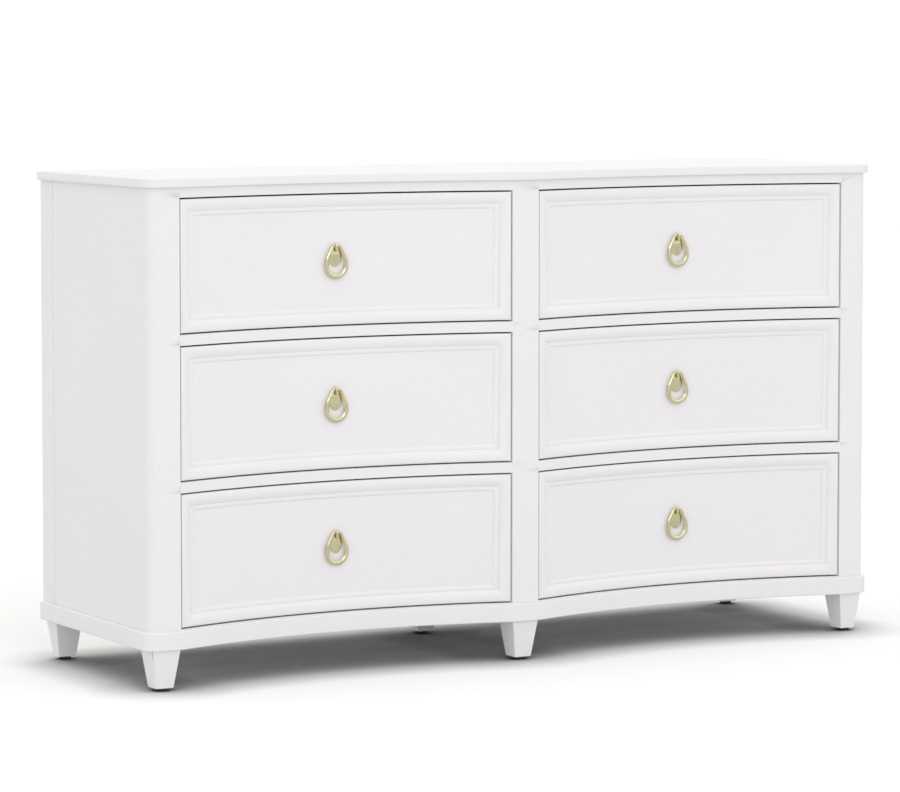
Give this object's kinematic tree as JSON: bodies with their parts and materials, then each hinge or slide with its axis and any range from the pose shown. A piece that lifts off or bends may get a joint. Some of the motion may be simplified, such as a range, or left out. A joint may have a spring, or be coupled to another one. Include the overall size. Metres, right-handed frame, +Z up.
{
  "type": "dresser with drawers",
  "caption": "Double dresser with a bowed-in front, inset moulded drawers on ball-bearing slides, drop-ring pulls, a base moulding and short tapered legs.",
  "frame": {"origin": "on the floor, under the middle of the overall box", "axes": "+Z up, +X along the front to the right as seen from the front, the front faces -Y"},
  "size_m": [1.524, 0.464, 0.892],
  "materials": {
    "white_paint": "satin white lacquer on wood",
    "case_board": "sealed white board",
    "back_board": "thin plywood, clear sealed",
    "drawer_wood": "clear satin birch",
    "drawer_ply": "clear satin birch plywood",
    "packer_wood": "bare softwood",
    "slide_steel": "zinc plated",
    "pull_brass": "polished pale champagne brass",
    "glide_plastic": "black nylon"
  },
  "bodies": {
    "carcass": {"top_panel": "white_paint", "side_panel_left": "white_paint", "side_panel_right": "white_paint", "back_panel": "back_board", "floor_panel": "white_paint", "centre_partition": "case_board", "front_post_left": "white_paint", "front_post_right": "white_paint", "centre_stile": "white_paint", "back_posts": "white_paint", "top_rails": "white_paint", "drawer_rails": "white_paint", "base_moulding": "white_paint", "front_legs": "white_paint", "back_legs": "white_paint", "glides": "glide_plastic", "slide_packers": "packer_wood", "cabinet_slides": "slide_steel"},
    "drawer_left_top": {"drawer_front_left_top": "white_paint", "drawer_box_left_top": "drawer_wood", "drawer_bottom_left_top": "drawer_ply", "drawer_runners_left_top": "slide_steel", "pull_base_left_top": "pull_brass"},
    "slides_left_top": {"slide_middle_left_top": "slide_steel"},
    "ring_left_top": {"pull_ring_left_top": "pull_brass"},
    "drawer_left_middle": {"drawer_front_left_middle": "white_paint", "drawer_box_left_middle": "drawer_wood", "drawer_bottom_left_middle": "drawer_ply", "drawer_runners_left_middle": "slide_steel", "pull_base_left_middle": "pull_brass"},
    "slides_left_middle": {"slide_middle_left_middle": "slide_steel"},
    "ring_left_middle": {"pull_ring_left_middle": "pull_brass"},
    "drawer_left_bottom": {"drawer_front_left_bottom": "white_paint", "drawer_box_left_bottom": "drawer_wood", "drawer_bottom_left_bottom": "drawer_ply", "drawer_runners_left_bottom": "slide_steel", "pull_base_left_bottom": "pull_brass"},
    "slides_left_bottom": {"slide_middle_left_bottom": "slide_steel"},
    "ring_left_bottom": {"pull_ring_left_bottom": "pull_brass"},
    "drawer_right_top": {"drawer_front_right_top": "white_paint", "drawer_box_right_top": "drawer_wood", "drawer_bottom_right_top": "drawer_ply", "drawer_runners_right_top": "slide_steel", "pull_base_right_top": "pull_brass"},
    "slides_right_top": {"slide_middle_right_top": "slide_steel"},
    "ring_right_top": {"pull_ring_right_top": "pull_brass"},
    "drawer_right_middle": {"drawer_front_right_middle": "white_paint", "drawer_box_right_middle": "drawer_wood", "drawer_bottom_right_middle": "drawer_ply", "drawer_runners_right_middle": "slide_steel", "pull_base_right_middle": "pull_brass"},
    "slides_right_middle": {"slide_middle_right_middle": "slide_steel"},
    "ring_right_middle": {"pull_ring_right_middle": "pull_brass"},
    "drawer_right_bottom": {"drawer_front_right_bottom": "white_paint", "drawer_box_right_bottom": "drawer_wood", "drawer_bottom_right_bottom": "drawer_ply", "drawer_runners_right_bottom": "slide_steel", "pull_base_right_bottom": "pull_brass"},
    "slides_right_bottom": {"slide_middle_right_bottom": "slide_steel"},
    "ring_right_bottom": {"pull_ring_right_bottom": "pull_brass"}
  },
  "joints": [
    {"name": "drawer_left_top_slide", "type": "slide", "parent": "carcass", "child": "drawer_left_top", "axis": [0, -1, 0], "range_m": [0, 0.32]},
    {"name": "slides_left_top_follow", "type": "slide", "parent": "carcass", "child": "slides_left_top", "axis": [0, -1, 0], "range_m": [0, 0.16]},
    {"name": "ring_left_top_swing", "type": "hinge", "parent": "drawer_left_top", "child": "ring_left_top", "pos_m": [-0.36075, -0.1722, 0.76433], "axis": [-1, 0, 0], "range_deg": [0, 90]},
    {"name": "drawer_left_middle_slide", "type": "slide", "parent": "carcass", "child": "drawer_left_middle", "axis": [0, -1, 0], "range_m": [0, 0.32]},
    {"name": "slides_left_middle_follow", "type": "slide", "parent": "carcass", "child": "slides_left_middle", "axis": [0, -1, 0], "range_m": [0, 0.16]},
    {"name": "ring_left_middle_swing", "type": "hinge", "parent": "drawer_left_middle", "child": "ring_left_middle", "pos_m": [-0.36075, -0.1722, 0.508], "axis": [-1, 0, 0], "range_deg": [0, 90]},
    {"name": "drawer_left_bottom_slide", "type": "slide", "parent": "carcass", "child": "drawer_left_bottom", "axis": [0, -1, 0], "range_m": [0, 0.32]},
    {"name": "slides_left_bottom_follow", "type": "slide", "parent": "carcass", "child": "slides_left_bottom", "axis": [0, -1, 0], "range_m": [0, 0.16]},
    {"name": "ring_left_bottom_swing", "type": "hinge", "parent": "drawer_left_bottom", "child": "ring_left_bottom", "pos_m": [-0.36075, -0.1722, 0.25167], "axis": [-1, 0, 0], "range_deg": [0, 90]},
    {"name": "drawer_right_top_slide", "type": "slide", "parent": "carcass", "child": "drawer_right_top", "axis": [0, -1, 0], "range_m": [0, 0.32]},
    {"name": "slides_right_top_follow", "type": "slide", "parent": "carcass", "child": "slides_right_top", "axis": [0, -1, 0], "range_m": [0, 0.16]},
    {"name": "ring_right_top_swing", "type": "hinge", "parent": "drawer_right_top", "child": "ring_right_top", "pos_m": [0.36075, -0.1722, 0.76433], "axis": [-1, 0, 0], "range_deg": [0, 90]},
    {"name": "drawer_right_middle_slide", "type": "slide", "parent": "carcass", "child": "drawer_right_middle", "axis": [0, -1, 0], "range_m": [0, 0.32]},
    {"name": "slides_right_middle_follow", "type": "slide", "parent": "carcass", "child": "slides_right_middle", "axis": [0, -1, 0], "range_m": [0, 0.16]},
    {"name": "ring_right_middle_swing", "type": "hinge", "parent": "drawer_right_middle", "child": "ring_right_middle", "pos_m": [0.36075, -0.1722, 0.508], "axis": [-1, 0, 0], "range_deg": [0, 90]},
    {"name": "drawer_right_bottom_slide", "type": "slide", "parent": "carcass", "child": "drawer_right_bottom", "axis": [0, -1, 0], "range_m": [0, 0.32]},
    {"name": "slides_right_bottom_follow", "type": "slide", "parent": "carcass", "child": "slides_right_bottom", "axis": [0, -1, 0], "range_m": [0, 0.16]},
    {"name": "ring_right_bottom_swing", "type": "hinge", "parent": "drawer_right_bottom", "child": "ring_right_bottom", "pos_m": [0.36075, -0.1722, 0.25167], "axis": [-1, 0, 0], "range_deg": [0, 90]}
  ],
  "couplings": [
    {"joint": "slides_left_top_follow", "follows": "drawer_left_top_slide", "ratio": 0.5},
    {"joint": "slides_left_middle_follow", "follows": "drawer_left_middle_slide", "ratio": 0.5},
    {"joint": "slides_left_bottom_follow", "follows": "drawer_left_bottom_slide", "ratio": 0.5},
    {"joint": "slides_right_top_follow", "follows": "drawer_right_top_slide", "ratio": 0.5},
    {"joint": "slides_right_middle_follow", "follows": "drawer_right_middle_slide", "ratio": 0.5},
    {"joint": "slides_right_bottom_follow", "follows": "drawer_right_bottom_slide", "ratio": 0.5}
  ]
}
